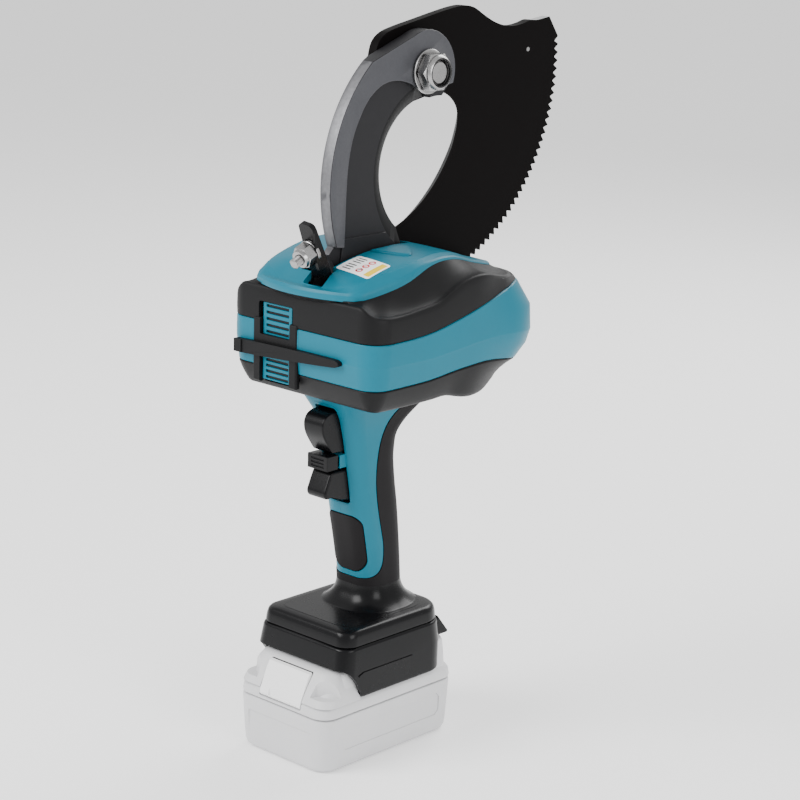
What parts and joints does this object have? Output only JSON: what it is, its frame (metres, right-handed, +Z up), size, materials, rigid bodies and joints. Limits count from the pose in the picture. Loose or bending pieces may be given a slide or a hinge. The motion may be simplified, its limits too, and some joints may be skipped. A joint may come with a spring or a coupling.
{
  "type": "battery ratchet cable cutter",
  "caption": "Battery-powered ratchet cable cutter: a pistol-grip body with a hook jaw, a toothed swinging blade, two triggers and a slide-off battery.",
  "frame": {"origin": "centre of the battery underside, where the tool stands", "axes": "+X to the tool's right, +Y to its back, +Z up; the triggers face -Y"},
  "size_m": [0.12, 0.241, 0.437],
  "materials": {
    "dark_steel": "dark oxide, satin",
    "black_steel": "black coating, satin",
    "bright_steel": "zinc plated",
    "plate_steel": "machined",
    "spring_steel": "drawn wire",
    "copper_winding": "enamelled winding",
    "black_plastic": "fine grain",
    "teal_plastic": "fine grain",
    "grip_rubber": "soft matte",
    "gloss_black": "polished",
    "circuit_board": "solder mask",
    "pale_plastic": "satin",
    "white_plastic": "satin",
    "cell_wrap": "shrink wrap"
  },
  "bodies": {
    "tool": {"fixed_jaw": "dark_steel", "pivot_bolt": "bright_steel", "pivot_washer": "bright_steel", "pivot_nut": "bright_steel", "jaw_pin_front": "bright_steel", "jaw_pin_rear": "bright_steel", "holding_pawl_pin": "bright_steel", "frame_plate_right": "plate_steel", "frame_plate_left": "plate_steel", "ring_gear": "plate_steel", "motor_can": "plate_steel", "shaft_bearing_right": "plate_steel", "shaft_bearing_left": "plate_steel", "holding_pawl_spring": "spring_steel", "upper_trigger_spring": "spring_steel", "lower_trigger_spring": "spring_steel", "gearbox_case": "black_plastic", "motor_end_bell": "black_plastic", "upper_band": "black_plastic", "lower_band": "black_plastic", "front_bar": "black_plastic", "switch_body": "black_plastic", "housing_right": "teal_plastic", "housing_left": "teal_plastic", "top_cover": "teal_plastic", "vent_grille_upper": "teal_plastic", "vent_grille_lower": "teal_plastic", "palm_pad": "grip_rubber", "rear_grip_cover": "grip_rubber", "base_top": "gloss_black", "base_skirt": "gloss_black", "terminal_block": "gloss_black", "control_board": "circuit_board"},
    "blade": {"moving_blade": "black_steel"},
    "lever": {"release_lever": "black_steel", "lever_stud": "bright_steel", "lever_washer": "bright_steel", "lever_nut": "bright_steel"},
    "holding_pawl_body": {"holding_pawl": "plate_steel"},
    "rotor": {"motor_rotor": "copper_winding", "motor_fan": "black_plastic", "sun_gear": "plate_steel"},
    "carrier": {"planet_carrier": "plate_steel", "bevel_pinion": "plate_steel"},
    "planet_1": {"planet_gear_1": "plate_steel"},
    "planet_2": {"planet_gear_2": "plate_steel"},
    "planet_3": {"planet_gear_3": "plate_steel"},
    "eccentric": {"eccentric_shaft": "plate_steel", "bevel_gear": "plate_steel"},
    "drive_pawl_body": {"drive_pawl": "plate_steel"},
    "upper_trigger_body": {"upper_trigger": "gloss_black"},
    "lower_trigger_body": {"lower_trigger": "gloss_black"},
    "lock": {"lock_slider": "gloss_black"},
    "battery": {"battery_case": "pale_plastic", "battery_cover": "pale_plastic", "cell_row_lower": "cell_wrap", "cell_row_upper": "cell_wrap", "battery_board": "circuit_board", "release_button_spring": "spring_steel"},
    "battery_button": {"release_button": "white_plastic"}
  },
  "joints": [
    {"name": "blade_pivot", "type": "hinge", "parent": "tool", "child": "blade", "pos_m": [-0.003, 0.045, 0.402], "axis": [1, 0, 0], "range_deg": [-60, 70]},
    {"name": "lever_tilt", "type": "hinge", "parent": "tool", "child": "lever", "pos_m": [0.007, -0.037, 0.296], "axis": [1, 0, 0], "range_deg": [0, 22], "stiffness_Nm_per_rad": 0.05},
    {"name": "holding_pawl_swing", "type": "hinge", "parent": "tool", "child": "holding_pawl_body", "pos_m": [-0.003, 0.042, 0.256], "axis": [1, 0, 0], "range_deg": [0, 9], "deforming": ["holding_pawl_spring"]},
    {"name": "motor_spin", "type": "hinge", "parent": "tool", "child": "rotor", "pos_m": [-0.032, 0, 0.25], "axis": [0, 1, 0], "continuous": true},
    {"name": "carrier_spin", "type": "hinge", "parent": "tool", "child": "carrier", "pos_m": [-0.032, 0.048, 0.25], "axis": [0, 1, 0], "continuous": true},
    {"name": "planet_1_spin", "type": "hinge", "parent": "carrier", "child": "planet_1", "pos_m": [-0.032, 0.039, 0.2586], "axis": [0, 1, 0], "continuous": true},
    {"name": "planet_2_spin", "type": "hinge", "parent": "carrier", "child": "planet_2", "pos_m": [-0.03945, 0.039, 0.2457], "axis": [0, 1, 0], "continuous": true},
    {"name": "planet_3_spin", "type": "hinge", "parent": "carrier", "child": "planet_3", "pos_m": [-0.02455, 0.039, 0.2457], "axis": [0, 1, 0], "continuous": true},
    {"name": "eccentric_spin", "type": "hinge", "parent": "tool", "child": "eccentric", "pos_m": [-0.005, 0.088, 0.25], "axis": [1, 0, 0], "continuous": true},
    {"name": "drive_pawl_swing", "type": "hinge", "parent": "eccentric", "child": "drive_pawl_body", "pos_m": [-0.003, 0.088, 0.2525], "axis": [1, 0, 0], "continuous": true},
    {"name": "upper_trigger_pull", "type": "slide", "parent": "tool", "child": "upper_trigger_body", "axis": [0, 1, 0], "range_m": [0, 0.005], "stiffness_N_per_m": 600, "deforming": ["upper_trigger_spring"]},
    {"name": "lower_trigger_pull", "type": "slide", "parent": "tool", "child": "lower_trigger_body", "axis": [0, 1, 0], "range_m": [0, 0.005], "stiffness_N_per_m": 600, "deforming": ["lower_trigger_spring"]},
    {"name": "lock_push", "type": "slide", "parent": "tool", "child": "lock", "axis": [1, 0, 0], "range_m": [-0.0025, 0.0025]},
    {"name": "battery_slide", "type": "slide", "parent": "tool", "child": "battery", "axis": [0, -1, 0], "range_m": [0, 0.1]},
    {"name": "battery_button_press", "type": "slide", "parent": "battery", "child": "battery_button", "axis": [0, 1, 0], "range_m": [0, 0.003], "stiffness_N_per_m": 500, "deforming": ["release_button_spring"]}
  ],
  "couplings": [
    {"joint": "holding_pawl_swing", "follows": "lever_tilt", "ratio": 0.409},
    {"joint": "carrier_spin", "follows": "motor_spin", "ratio": 0.25},
    {"joint": "planet_1_spin", "follows": "motor_spin", "ratio": -0.75},
    {"joint": "planet_2_spin", "follows": "motor_spin", "ratio": -0.75},
    {"joint": "planet_3_spin", "follows": "motor_spin", "ratio": -0.75},
    {"joint": "eccentric_spin", "follows": "motor_spin", "ratio": 0.10417},
    {"joint": "drive_pawl_swing", "follows": "motor_spin", "ratio": -0.10417}
  ]
}
